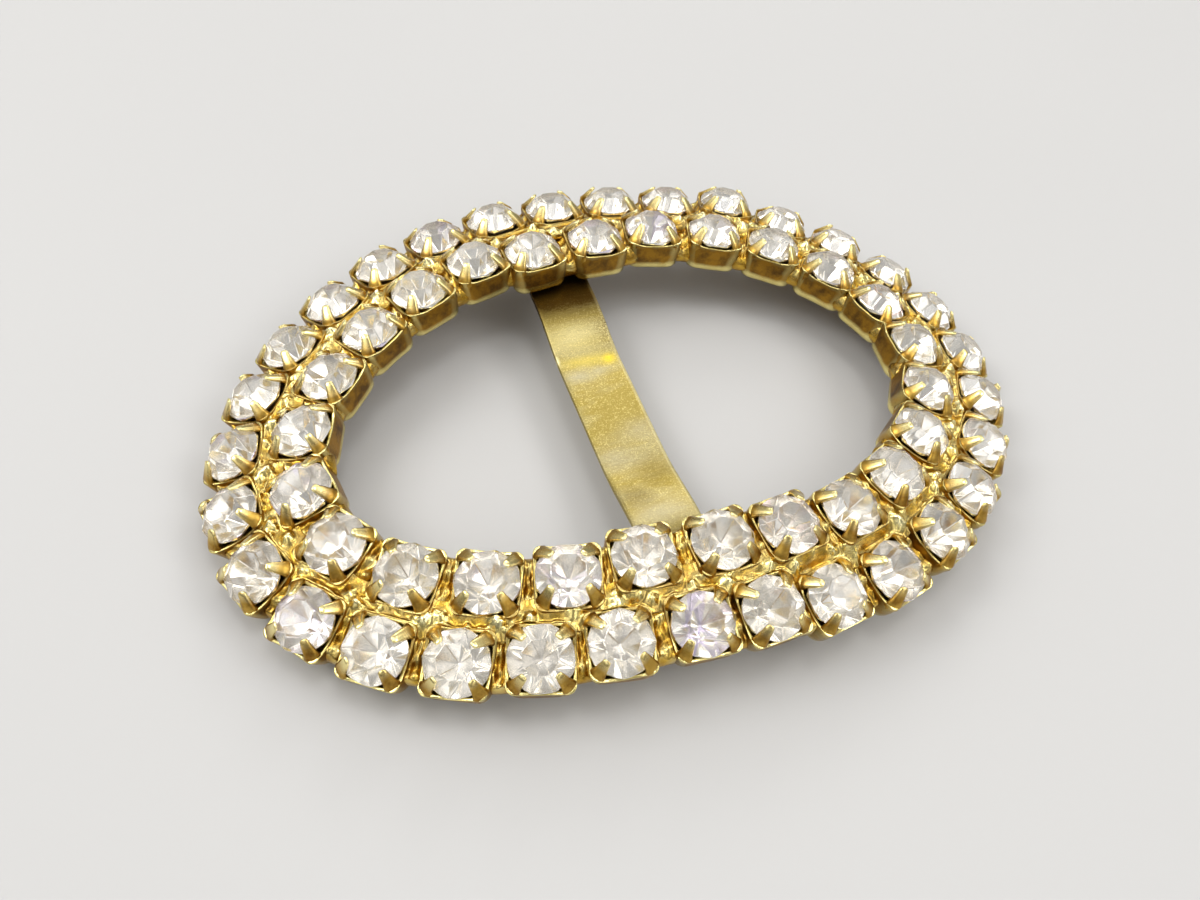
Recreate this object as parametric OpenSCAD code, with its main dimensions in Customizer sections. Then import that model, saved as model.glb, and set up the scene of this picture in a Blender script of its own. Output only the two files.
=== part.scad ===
// Oval sash buckle: two rows of glass stones in pronged cups, soldered side by side,
// with a flat bar across the back that the sash is folded round.
// It lies on its two ends, face up. X runs along the oval, Y across it, and Z is up.

/* [Oval] */
// Half length of the outer row, to the middle of its stones
outer_half_length = 29.06; // [28.95:0.01:29.2]
// Half width of the outer row
outer_half_width = 19.84; // [19.75:0.01:19.95]
// Half length of the inner row
inner_half_length = 24.28; // [24.2:0.01:24.35]
// Half width of the inner row
inner_half_width = 14.94; // [14.85:0.01:15]
// Stones in the outer row
outer_count = 31; // [30:1:31]
// Stones in the inner row
inner_count = 25; // [24:1:25]
// Where the outer row starts, as a share of the way round from +X
outer_start = 0.4403; // [0.435:0.0001:0.445]
// Where the inner row starts, as a share of the way round from +X
inner_start = 0.4714; // [0.468:0.0001:0.475]

/* [Form] */
// How far the ends of the outer row bend down below its middle
outer_bow = 2.64; // [2.5:0.01:2.75]
// How far the ends of the inner row bend down below its middle
inner_bow = 2.34; // [2.25:0.01:2.45]
// How far the outer row lies below the inner row
row_drop = 1.45; // [1.4:0.01:1.5]
// Outward lean of the outer cups, in degrees
outer_lean = 18; // [17:0.5:19]
// Outward lean of the inner cups, in degrees
inner_lean = 8; // [7.5:0.5:8.5]
// Unevenness of the hand-bent oval, three times round
uneven_three = 0.43; // [0.4:0.01:0.45]
// Unevenness of the hand-bent oval, four times round
uneven_four = 0.44; // [0.4:0.01:0.46]

/* [Cups] */
// Width of a cup across its flat sides
cup_width = 4.34; // [4.32:0.01:4.35]
// Cut across each corner of a cup
cup_corner = 0.7; // [0.68:0.01:0.75]
// Thickness of the cup's wall
cup_wall = 0.2; // [0.2:0.01:0.22]
// Thickness of the cup's floor
cup_floor = 0.25; // [0.2:0.01:0.3]
// Depth of the cup's underside below the widest line of its stone
cup_depth = 2.5; // [2.45:0.01:2.7]
// Drop of the cup's rim below the widest line of its stone
rim_drop = 0.4; // [0.38:0.01:0.45]
// Bevel round the cup's underside
cup_bevel = 0.3; // [0.1:0.01:0.4]

/* [Prongs] */
// Width of a prong
prong_width = 0.56; // [0.45:0.01:0.6]
// Thickness of a prong
prong_thick = 0.28; // [0.2:0.01:0.3]
// Length of a prong past its bend
prong_length = 1.35; // [1.2:0.01:1.45]
// Height of a prong's bend above the widest line of its stone
prong_bend = 0.02; // [0:0.01:0.06]
// Lean of a prong over its stone, in degrees
prong_lean = 45; // [38:1:46]

/* [Stones] */
// Diameter of a stone
stone_diameter = 4.3; // [4.1:0.01:4.35]
// Width of a stone's table across its corners
table_width = 2.3; // [2:0.01:2.6]
// Height of a stone's crown
crown_height = 0.95; // [0.8:0.01:1.05]
// Height of a stone's straight edge
girdle_height = 0.15; // [0.1:0.01:0.2]
// Depth of a stone's pointed back
pavilion_depth = 1.9; // [1.8:0.01:1.95]

/* [Bar] */
// Width of the bar along the oval
bar_width = 4.9; // [4.5:0.05:5.2]
// Thickness of the bar
bar_thick = 0.45; // [0.4:0.01:0.6]
// Length of the bar across the oval
bar_length = 33.2; // [32.4:0.1:33.6]
// Place of the bar's middle along the oval
bar_place = -1.3; // [-2:0.1:2]
// Height of the bar's soldered ends below the widest line of the inner stones
bar_drop = 2.62; // [2.55:0.01:2.7]
// Sag of the bar's middle below its ends
bar_sag = 0.95; // [0.5:0.01:1.2]
// Length of the bar's level middle
bar_level = 9; // [6:0.5:12]
// Length of each level end of the bar
bar_end = 5.5; // [4.5:0.1:6]

/* [Hidden] */

gold = [0.83, 0.65, 0.25];
clear_glass = [0.86, 0.87, 0.89];

OUTER = 0;
INNER = 1;
half_length = [outer_half_length, inner_half_length];
half_width = [outer_half_width, inner_half_width];
count = [outer_count, inner_count];
start = [outer_start, inner_start];
bow = [outer_bow, inner_bow];
drop = [row_drop, 0];
row_lean = [outer_lean, inner_lean];

// Turns of the two uneven waves, in degrees
three_turn = 245;
four_turn = 143;

// Cups that the solderer left out of line. Columns: row, stone, along (clockwise), out, lift
odd_cups = [
    [OUTER, 10, 0, 0.35, 0.3],
    [OUTER, 20, 0, 0, -0.5],
    [OUTER, 21, 0, 0, -0.45],
    [OUTER, 22, -0.25, 0, 0.1],
    [OUTER, 23, -0.45, 0, 0],
    [INNER, 6, -0.45, -0.8, 0],
    [INNER, 7, -0.15, -0.55, 0],
    [INNER, 8, -0.25, 0, 0],
    [INNER, 18, -0.15, -0.2, 0.15],
    [INNER, 19, -0.4, 0.1, 0],
    [INNER, 22, 0, -0.2, 0],
    [INNER, 24, 0.15, 0.2, 0],
];

// Arc length along each oval, as pairs of length and angle, for even spacing
oval_steps = 360;
function oval_point(row, t) = [half_length[row] * cos(t), half_width[row] * sin(t)];
function oval_step(row, i) = norm(oval_point(row, i + 1) - oval_point(row, i));
function oval_table(row) = [
    for (i = 0, s = 0; i <= oval_steps; s = s + oval_step(row, i), i = i + 1) [s, i]
];
oval_tables = [oval_table(OUTER), oval_table(INNER)];
oval_round = [for (row = [OUTER, INNER]) oval_tables[row][oval_steps][0]];

function wrapped(share) = share - floor(share);
function stone_angle(row, k) =
    lookup(wrapped(start[row] - (k - 1) / count[row]) * oval_round[row], oval_tables[row]);

// Outward direction of an oval, level, at an angle
function outward(row, t) =
    let (v = [half_width[row] * cos(t), half_length[row] * sin(t)]) v / norm(v);
function unevenness(p) =
    let (turn = atan2(p[1], p[0]))
    uneven_three * cos(3 * turn - three_turn) + uneven_four * cos(4 * turn - four_turn);

function odd_row(row, k) = [for (c = odd_cups) if (c[0] == row && c[1] == k) c];
function odd_shift(row, k) =
    let (found = odd_row(row, k)) len(found) > 0 ? [found[0][2], found[0][3], found[0][4]] : [0, 0, 0];

// Place and turn of a cup: [position, [lean, slope, heading]], at the widest line of its stone
function cup_pose(row, k) =
    let (
        t = stone_angle(row, k),
        shift = odd_shift(row, k),
        out = outward(row, t),
        along = [out[1], -out[0]],
        flat = oval_point(row, t),
        level = flat + (unevenness(flat) + shift[1]) * out + shift[0] * along,
        fall = 2 * bow[row] * level[0] / (half_length[row] * half_length[row]),
        height = shift[2] - drop[row] - bow[row] * pow(level[0] / half_length[row], 2)
    )
    [
        [level[0], level[1], height],
        [-row_lean[row] - atan(fall * out[0]), atan(fall * along[0]), atan2(along[1], along[0])]
    ];

module at_cup(row, k) {
    pose = cup_pose(row, k);
    translate(pose[0]) rotate(pose[1]) children();
}

// A point of a cup, taken to the whole buckle's frame
function turned(p, r) =
    let (
        a = [p[0], p[1] * cos(r[0]) - p[2] * sin(r[0]), p[1] * sin(r[0]) + p[2] * cos(r[0])],
        b = [a[0] * cos(r[1]) + a[2] * sin(r[1]), a[1], a[2] * cos(r[1]) - a[0] * sin(r[1])]
    )
    [b[0] * cos(r[2]) - b[1] * sin(r[2]), b[0] * sin(r[2]) + b[1] * cos(r[2]), b[2]];

// Outline of a cup at a given half width, with its corners cut
cup_half = cup_width / 2;
function spun(p, turn) = [p[0] * cos(turn) - p[1] * sin(turn), p[0] * sin(turn) + p[1] * cos(turn)];
function cup_outline(half, corner) = [
    for (turn = [0:90:270], side = [-1, 1]) spun([half, side * (half - corner)], turn)
];

// Side view of a prong: it rises in the cup's corner and then leans over the stone
prong_foot = -1.3;
prong_proud = 0.03;
corner_reach = (2 * cup_half - cup_corner) / sqrt(2) + prong_proud;
prong_over = prong_length * sin(prong_lean);
prong_up = prong_length * cos(prong_lean);

// Sides of a stone
sides = 8;
facet = 360 / sides;
stone_radius = stone_diameter / 2;

// Reach of the cups, prongs and stones, which sets the origin at the middle of the underside
function prong_corners(out) = [
    for (turn = [45:90:315], side = [-1, 1]) spun([out, side * prong_width / 2], turn)
];
function lifted(outline, z) = [for (p = outline) [p[0], p[1], z]];
bevel_corner = max(cup_corner - 2 * cup_bevel, 0.02);
far_points = concat(
    lifted(cup_outline(cup_half, cup_corner), -rim_drop),
    lifted(cup_outline(cup_half, cup_corner), -cup_depth + cup_bevel),
    lifted(cup_outline(cup_half - cup_bevel, bevel_corner), -cup_depth),
    lifted(prong_corners(corner_reach), prong_bend),
    lifted(prong_corners(corner_reach - prong_over), prong_bend + prong_up),
    lifted([for (i = [0:sides - 1]) spun([stone_radius, 0], i * facet)], 0)
);
reach = [
    for (k = [1:outer_count], point = far_points)
        let (pose = cup_pose(OUTER, k)) pose[0] + turned(point, pose[1])
];
function column(points, axis) = [for (p = points) p[axis]];
function middle(values) = (min(values) + max(values)) / 2;
origin = [middle(column(reach, 0)), middle(column(reach, 1)), min(column(reach, 2))];

// One square cup, open above, with its underside bevelled
module cup() {
    inner_half = cup_half - cup_wall;
    bevel_cut = 2 * cup_bevel;
    difference() {
        translate([0, 0, -cup_depth])
            linear_extrude(cup_depth - rim_drop) polygon(cup_outline(cup_half, cup_corner));
        translate([0, 0, -cup_depth + cup_floor])
            linear_extrude(cup_depth) polygon(cup_outline(inner_half, cup_corner - cup_wall / 2));
        for (turn = [0:90:270])
            rotate(turn) translate([cup_half, 0, -cup_depth]) rotate([0, 45, 0])
                cube([cup_bevel * sqrt(2), cup_width * 2, bevel_cut], center = true);
    }
}

module prong() {
    inner = corner_reach - prong_thick;
    inner_bend = prong_bend - prong_thick / 4;
    tip = [corner_reach - prong_over, prong_bend + prong_up];
    // Its end is square to its two faces
    through = [cos(prong_lean), sin(prong_lean)];
    blade_thick = [corner_reach - inner, prong_bend - inner_bend] * through;
    rotate([90, 0, 0]) linear_extrude(prong_width, center = true) polygon([
        [inner, prong_foot],
        [corner_reach, prong_foot],
        [corner_reach, prong_bend],
        tip,
        tip - blade_thick * through,
        [inner, inner_bend]
    ]);
}

module pronged_cup() {
    union() {
        cup();
        for (turn = [45:90:315]) rotate(turn) prong();
    }
}

// Solder between two neighbours of a row, which bites into both walls
pad_bite = 0.12;
pad_width = 1.7;
pad_height = 1.1;
pad_top = -0.8;
module row_solder(row, k) {
    here = cup_pose(row, k);
    next = cup_pose(row, k + 1 > count[row] ? 1 : k + 1);
    step = next[0] - here[0];
    pad_length = norm(step) - cup_width + 2 * pad_bite;
    lean = (here[1][0] + next[1][0]) / 2;
    translate((here[0] + next[0]) / 2)
        rotate([lean, -asin(step[2] / norm(step)), atan2(step[1], step[0])])
            translate([0, 0, pad_top - pad_height / 2])
                cube([pad_length, pad_width, pad_height], center = true);
}

// Solder behind an outer cup, which bites into the inner row
seam_length = 2.4;
seam_width = 0.85;
seam_height = 0.7;
seam_bite = 0.12;
seam_top = -0.95;
module seam_solder(k) {
    at_cup(OUTER, k)
        translate([0, seam_bite - cup_half - seam_width / 2, seam_top - seam_height / 2])
            cube([seam_length, seam_width, seam_height], center = true);
}

// Side view of the bar, across the oval: its ends are soldered up under the inner cups
module bar() {
    half = bar_length / 2;
    knee = half - bar_end;
    level = bar_level / 2;
    top = -bar_drop;
    line = [[-half, top], [-knee, top], [-level, top - bar_sag], [level, top - bar_sag], [knee, top], [half, top]];
    translate([bar_place - bar_width / 2, 0, 0])
        rotate([90, 0, 90]) linear_extrude(bar_width)
            polygon(concat(line, [for (i = [len(line) - 1:-1:0]) line[i] - [0, bar_thick]]));
}

// One cut stone: an eight-sided table, eight crown facets, a thin edge and eight facets to a point behind
module stone() {
    corners = 2 * sides;
    table_radius = table_width / 2;
    corner_fall = stone_radius * (1 - cos(facet / 2));
    crown_slope = crown_height / (stone_radius - table_radius * cos(facet / 2));
    back_slope = pavilion_depth / stone_radius;
    // Corners of the edge are high in front and low behind, where two facets meet
    edge = [for (i = [0:corners - 1]) spun([stone_radius, 0], i * facet / 2)];
    front = [for (i = [0:corners - 1]) i % 2 == 0 ? crown_slope * corner_fall : 0];
    back = [for (i = [0:corners - 1]) -girdle_height - (i % 2 == 0 ? back_slope * corner_fall : 0)];
    points = concat(
        lifted([for (i = [0:sides - 1]) spun([table_radius, 0], i * facet)], crown_height),
        [for (i = [0:corners - 1]) [edge[i][0], edge[i][1], front[i]]],
        [for (i = [0:corners - 1]) [edge[i][0], edge[i][1], back[i]]],
        [[0, 0, -girdle_height - pavilion_depth]]
    );
    front_row = sides;
    back_row = front_row + corners;
    tip = back_row + corners;
    faces = concat(
        [[for (i = [sides - 1:-1:0]) i]],
        [for (i = [0:sides - 1]) [
            i,
            (i + 1) % sides,
            front_row + (2 * i + 2) % corners,
            front_row + 2 * i + 1,
            front_row + 2 * i
        ]],
        [for (i = [0:corners - 1]) [
            front_row + i,
            front_row + (i + 1) % corners,
            back_row + (i + 1) % corners,
            back_row + i
        ]],
        [for (i = [0:sides - 1]) [
            back_row + 2 * i,
            back_row + 2 * i + 1,
            back_row + (2 * i + 2) % corners,
            tip
        ]]
    );
    rotate(facet / 2) polyhedron(points, faces);
}

module stone_row(row) {
    translate(-origin)
        for (k = [1:count[row]]) at_cup(row, k) stone();
}

module setting_frame() {
    color(gold) translate(-origin) union() {
        for (row = [OUTER, INNER], k = [1:count[row]]) at_cup(row, k) pronged_cup();
        for (row = [OUTER, INNER], k = [1:count[row]]) row_solder(row, k);
        for (k = [1:outer_count]) seam_solder(k);
        bar();
    }
}

module outer_stones() {
    color(clear_glass) stone_row(OUTER);
}

module inner_stones() {
    color(clear_glass) stone_row(INNER);
}

setting_frame();
outer_stones();
inner_stones();
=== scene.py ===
"""Sash buckle: two rows of foil-backed stones in pronged cups, soldered round an oval with a flat bar.

The cups are laid out from the same named sizes as the solid model, in its frame. Shapes are worked out in
millimetres and put into the meshes in metres. Noise scales are in features per metre.
"""

import logging
import math
from dataclasses import dataclass
from enum import Enum

import bpy
import numpy as np
from mathutils import Matrix, Vector


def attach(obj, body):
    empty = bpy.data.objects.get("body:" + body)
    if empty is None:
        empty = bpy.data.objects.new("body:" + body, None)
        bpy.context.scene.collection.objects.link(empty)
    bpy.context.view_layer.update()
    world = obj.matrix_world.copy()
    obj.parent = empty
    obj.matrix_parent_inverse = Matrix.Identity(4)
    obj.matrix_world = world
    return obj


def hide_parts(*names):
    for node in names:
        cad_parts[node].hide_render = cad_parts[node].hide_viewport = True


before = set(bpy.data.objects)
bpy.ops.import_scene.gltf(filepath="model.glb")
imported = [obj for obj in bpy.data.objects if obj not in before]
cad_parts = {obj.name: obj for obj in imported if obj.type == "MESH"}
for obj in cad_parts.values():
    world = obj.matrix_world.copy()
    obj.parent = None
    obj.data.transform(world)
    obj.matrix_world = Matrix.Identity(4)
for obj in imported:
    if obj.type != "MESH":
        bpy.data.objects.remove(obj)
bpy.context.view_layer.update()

Array = np.ndarray
Triple = tuple[float, float, float]
Colour = Triple
Span = tuple[float, float]
Material = bpy.types.Material
Node = bpy.types.Node
Piece = bpy.types.Object
Socket = bpy.types.NodeSocket
Value = Socket | float | Triple | Array

LOG = logging.getLogger("buckle")
MM = 0.001
# Gilt points' mark of real wear together with painted light: painted highlights where high, painted shade
# where low.
WEAR_AND_PAINTED_LIGHT = "wear_and_painted_light"
FIRE = "fire"

# The part's origin, under the middle of its box, measured from the ovals' own middle.
ORIGIN = np.array([-0.190129, 0.150188, -7.17084])


class Row(Enum):
    """The two rows of stones."""

    OUTER = "outer"
    INNER = "inner"


class Gilt(Enum):
    """Kinds of gilt surface, by how their wear and painted light are laid out."""

    CUP = "cup"
    PRONG = "prong"
    SOLDER = "solder"


class Mark(Enum):
    """Kinds of mark on the bar."""

    STAIN = "stain"
    GREY = "grey"
    BROWN = "brown"
    YELLOW = "yellow"
    RUBBED_AND_HIGHLIT = "rubbed_and_highlit"


class Axis(Enum):
    """Axes to turn about, by their number."""

    X = 0
    Y = 1
    Z = 2


# Layout of the cups


def rotations(axis: Axis, angle: Array) -> Array:
    """Works out turns about an axis.

    Args:
        axis: The axis.
        angle: Angles in radians, anticlockwise as seen from the axis's end.

    Returns:
        A rotation matrix for each angle.
    """
    own = axis.value
    first, second = (own + 1) % 3, (own + 2) % 3
    made = np.zeros((len(angle), 3, 3))
    made[:, own, own] = 1.0
    made[:, first, first] = made[:, second, second] = np.cos(angle)
    made[:, first, second] = -np.sin(angle)
    made[:, second, first] = np.sin(angle)
    return made


@dataclass(frozen=True)
class OddCup:
    """A cup that the solderer left out of line, with its shifts in millimetres."""

    stone: int
    along: float = 0.0
    out: float = 0.0
    lift: float = 0.0


@dataclass(frozen=True)
class Poses:
    """Places and turns of a row's cups.

    Each cup has X along the row, Y outwards and Z up through its stone, from the stone's widest line.
    """

    centre: Array
    turn: Array

    def place(self, local: Array) -> Array:
        """Carries points from the cups' own frames to the buckle's.

        Args:
            local: One set of points for all cups, or one for each, in millimetres.

        Returns:
            The points, as one array for each cup.
        """
        if local.ndim == 2:
            local = np.broadcast_to(local, (len(self.centre), *local.shape))
        return np.einsum("nij,nvj->nvi", self.turn, local) + self.centre[:, None, :]


@dataclass(frozen=True)
class OvalRow:
    """One row of cups on a bent, slightly uneven oval, in millimetres and degrees.

    A wave of its unevenness holds its times round the oval, its size and its phase.
    """

    half_length: float
    half_width: float
    count: int
    start: float
    bow: float
    drop: float
    lean: float
    odd: tuple[OddCup, ...]
    waves: tuple[tuple[int, float, float], ...] = ((3, 0.43, 245.0), (4, 0.44, 143.0))

    def flat(self, angle: Array) -> Array:
        """Points of the even oval: half length times cosine, half width times sine."""
        return np.stack([self.half_length * np.cos(angle), self.half_width * np.sin(angle)], -1)

    def outward(self, angle: Array) -> Array:
        """Level directions at right angles to the oval."""
        normal = np.stack([self.half_width * np.cos(angle), self.half_length * np.sin(angle)], -1)
        return normal / np.linalg.norm(normal, axis=-1, keepdims=True)

    def unevenness(self, point: Array) -> Array:
        """How far the oval stands out, as a sum of cosine waves of the angle round the middle."""
        turn = np.arctan2(point[..., 1], point[..., 0])
        return sum(size * np.cos(times * turn - math.radians(phase)) for times, size, phase in self.waves)

    def raised(self, level: Array, lift: Array | float = 0.0) -> Array:
        """Puts level points on the bowed form, which falls by the bow times (x / half length) squared."""
        height = lift - self.drop - self.bow * (level[..., 0] / self.half_length) ** 2
        return np.concatenate([level, height[..., None]], -1) - ORIGIN

    def angles(self) -> Array:
        """Spaces the cups evenly by arc length, clockwise from the row's start.

        Returns:
            The angles of the cups.
        """
        degrees = np.arange(361)
        corners = self.flat(np.radians(degrees))
        length = np.concatenate([[0.0], np.cumsum(np.linalg.norm(np.diff(corners, axis=0), axis=1))])
        share = (self.start - np.arange(self.count) / self.count) % 1.0
        return np.radians(np.interp(share * length[-1], length, degrees))

    def surface(self, angle: Array, out: float) -> Array:
        """Points that lie a distance outside the row's middle line."""
        flat = self.flat(angle)
        return self.raised(flat + (self.unevenness(flat) + out)[..., None] * self.outward(angle))

    def poses(self) -> Poses:
        """Works out where each cup sits and how it leans.

        Returns:
            The row's cups.
        """
        angle = self.angles()
        shift = np.zeros((self.count, 3))
        for cup in self.odd:
            shift[cup.stone - 1] = (cup.along, cup.out, cup.lift)
        out = self.outward(angle)
        along = np.stack([out[:, 1], -out[:, 0]], -1)
        flat = self.flat(angle)
        level = flat + (self.unevenness(flat) + shift[:, 1])[:, None] * out + shift[:, :1] * along
        fall = 2 * self.bow * level[:, 0] / self.half_length**2
        lean = rotations(Axis.X, -math.radians(self.lean) - np.arctan(fall * out[:, 0]))
        slope = rotations(Axis.Y, np.arctan(fall * along[:, 0]))
        heading = rotations(Axis.Z, np.arctan2(along[:, 1], along[:, 0]))
        return Poses(self.raised(level, shift[:, 2]), heading @ slope @ lean)


OVALS = {
    Row.OUTER: OvalRow(
        half_length=29.06, half_width=19.84, count=31, start=0.4403, bow=2.64, drop=1.45, lean=18.0,
        odd=(
            OddCup(10, out=0.35, lift=0.3),
            OddCup(20, lift=-0.5),
            OddCup(21, lift=-0.45),
            OddCup(22, along=-0.25, lift=0.1),
            OddCup(23, along=-0.45),
        ),
    ),
    Row.INNER: OvalRow(
        half_length=24.28, half_width=14.94, count=25, start=0.4714, bow=2.34, drop=0.0, lean=8.0,
        odd=(
            OddCup(6, along=-0.45, out=-0.8),
            OddCup(7, along=-0.15, out=-0.55),
            OddCup(8, along=-0.25),
            OddCup(18, along=-0.15, out=-0.2, lift=0.15),
            OddCup(19, along=-0.4, out=0.1),
            OddCup(22, out=-0.2),
            OddCup(24, along=0.15, out=0.2),
        ),
    ),
}


@dataclass(frozen=True)
class Walls:
    """The outlines of all the cups, as squares with round corners, for what is run in between them.

    Solder that climbs a wall falls off over the creep. Inside a cup it drops away over the sink, which is a
    range of distances from the wall.
    """

    rows: tuple[Poses, ...]
    half: float = 2.17
    corner: float = 0.8
    blend: float = 0.35
    far: float = 8.0
    creep: float = 0.15
    sink: Span = (0.08, 0.20)

    def survey(self, points: Array) -> tuple[Array, Array]:
        """Finds the walls and the level of the cups round each point.

        The level is the mean height of the cups' own planes there, each weighted by exp(-distance / blend),
        with distances held between nought and far.

        Args:
            points: Points in the buckle's frame, in millimetres.

        Returns:
            The distances to the nearest wall, seen along its cup, less than nought inside, and the levels.
        """
        near = np.full(points.shape[:-1], np.inf)
        level = np.zeros_like(near)
        total = np.zeros_like(near)
        for poses in self.rows:
            for centre, turn in zip(poses.centre, poses.turn):
                offset = points - centre
                flat = np.abs((offset @ turn)[..., :2]) - (self.half - self.corner)
                outside = np.linalg.norm(np.clip(flat, 0, None), axis=-1)
                apart = outside + np.minimum(flat.max(-1), 0) - self.corner
                near = np.minimum(near, apart)
                weight = np.exp(-np.clip(apart, 0, self.far) / self.blend)
                level += weight * (centre[2] - offset[..., :2] @ turn[:2, 2] / turn[2, 2])
                total += weight
        return near, level / total

    def meniscus(self, near: Array, climb: float, inside_drop: float) -> tuple[Array, Array]:
        """Works out how solder stands against the walls.

        It climbs by exp(-distance / creep) outside a wall. Inside a cup it drops out of sight.

        Args:
            near: Distances to the nearest wall, less than nought inside.
            climb: How far the solder climbs at the wall.
            inside_drop: How far it drops inside a cup.

        Returns:
            The changes in height, and how near each point is to a wall, from nought to one.
        """
        close = np.exp(-np.clip(near, 0, None) / self.creep)
        first, last = self.sink
        return climb * close - inside_drop * np.clip((-near - first) / (last - first), 0, 1), close


# Meshes


@dataclass(frozen=True)
class Patch:
    """Part of a template's surface: its faces, whether they are smooth, and their material's place."""

    faces: Array
    smooth: bool = True
    material: int = 0


def make_piece(
    name: str,
    points: Array,
    patches: list[Patch],
    materials: list[Material],
    marks: dict[str, Array] | None = None,
) -> Piece:
    """Makes an object of copies of one template, with its place in its mesh.

    Args:
        name: The piece's name.
        points: Points in millimetres, as copies by template points by three.
        patches: The template's surface.
        materials: The piece's materials.
        marks: Values for each point, as copies by template points or as template points.

    Returns:
        The object, linked to the scene.
    """
    copies, size = points.shape[:2]
    offsets = size * np.arange(copies)
    faces, smooth, places = [], [], []
    for patch in patches:
        whole = (patch.faces[None] + offsets[:, None, None]).reshape(-1, patch.faces.shape[1])
        faces += whole.tolist()
        smooth += [patch.smooth] * len(whole)
        places += [patch.material] * len(whole)
    mesh = bpy.data.meshes.new(name)
    mesh.from_pydata((points.reshape(-1, 3) * MM).tolist(), [], faces)
    mesh.polygons.foreach_set("use_smooth", smooth)
    mesh.polygons.foreach_set("material_index", places)
    for mark, values in (marks or {}).items():
        layer = mesh.attributes.new(mark, "FLOAT", "POINT")
        layer.data.foreach_set("value", np.broadcast_to(values, (copies, size)).ravel().astype(np.float32))
    mesh.update()
    for material in materials:
        mesh.materials.append(material)
    piece = bpy.data.objects.new(name, mesh)
    bpy.context.scene.collection.objects.link(piece)
    return piece


def ring_quads(rings: int, around: int, closed: bool = False) -> Array:
    """Works out the quads of a grid whose columns close on themselves.

    Args:
        rings: How many rings of points there are.
        around: How many points each ring has.
        closed: Whether the last ring joins the first.

    Returns:
        The corners of each quad, facing outwards where rings rise and columns run anticlockwise.
    """
    i = np.arange(rings if closed else rings - 1)[:, None]
    j = np.arange(around)[None, :]
    after_i, after_j = (i + 1) % rings, (j + 1) % around
    corners = np.stack(np.broadcast_arrays(
        i * around + j, i * around + after_j, after_i * around + after_j, after_i * around + j
    ), -1)
    return corners.reshape(-1, 4)


def ring_fan(pole: int, first: int, around: int, upper: bool) -> Array:
    """Triangles from a ring of points to a pole past it, or else before it, facing away from its inside."""
    a, b = first + np.arange(around), first + (np.arange(around) + 1) % around
    return np.stack([a, b, np.full(around, pole)] if upper else [b, a, np.full(around, pole)], -1)


def tube(rings: int, around: int, smooth_ends: bool = True) -> list[Patch]:
    """Works out the surface of a closed tube, whose two poles follow its rings in the list of points.

    Args:
        rings: How many rings of points it has.
        around: How many points each ring has.
        smooth_ends: Whether its ends are smooth.

    Returns:
        Its side, its first end and its last end.
    """
    pole = rings * around
    return [
        Patch(ring_quads(rings, around)),
        Patch(ring_fan(pole, 0, around, False), smooth_ends),
        Patch(ring_fan(pole + 1, pole - around, around, True), smooth_ends),
    ]


def finish_piece(piece: Piece, slot: str, *nodes: str) -> None:
    """Ties a piece to the frame and reports it.

    Args:
        piece: The finished object.
        slot: A material slot's name; not used.
        nodes: The CAD nodes that it stands for.
    """
    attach(piece, "root")
    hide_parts(*nodes)
    LOG.info("%s: %d faces", piece.name, len(piece.data.polygons))


# Finishes


@dataclass(frozen=True)
class Noise:
    """A noise: its features per metre, its finer layers and their strength, and its stretch by axis."""

    scale: float
    detail: float
    roughness: float = 0.55
    stretch: Triple = (1.0, 1.0, 1.0)


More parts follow.
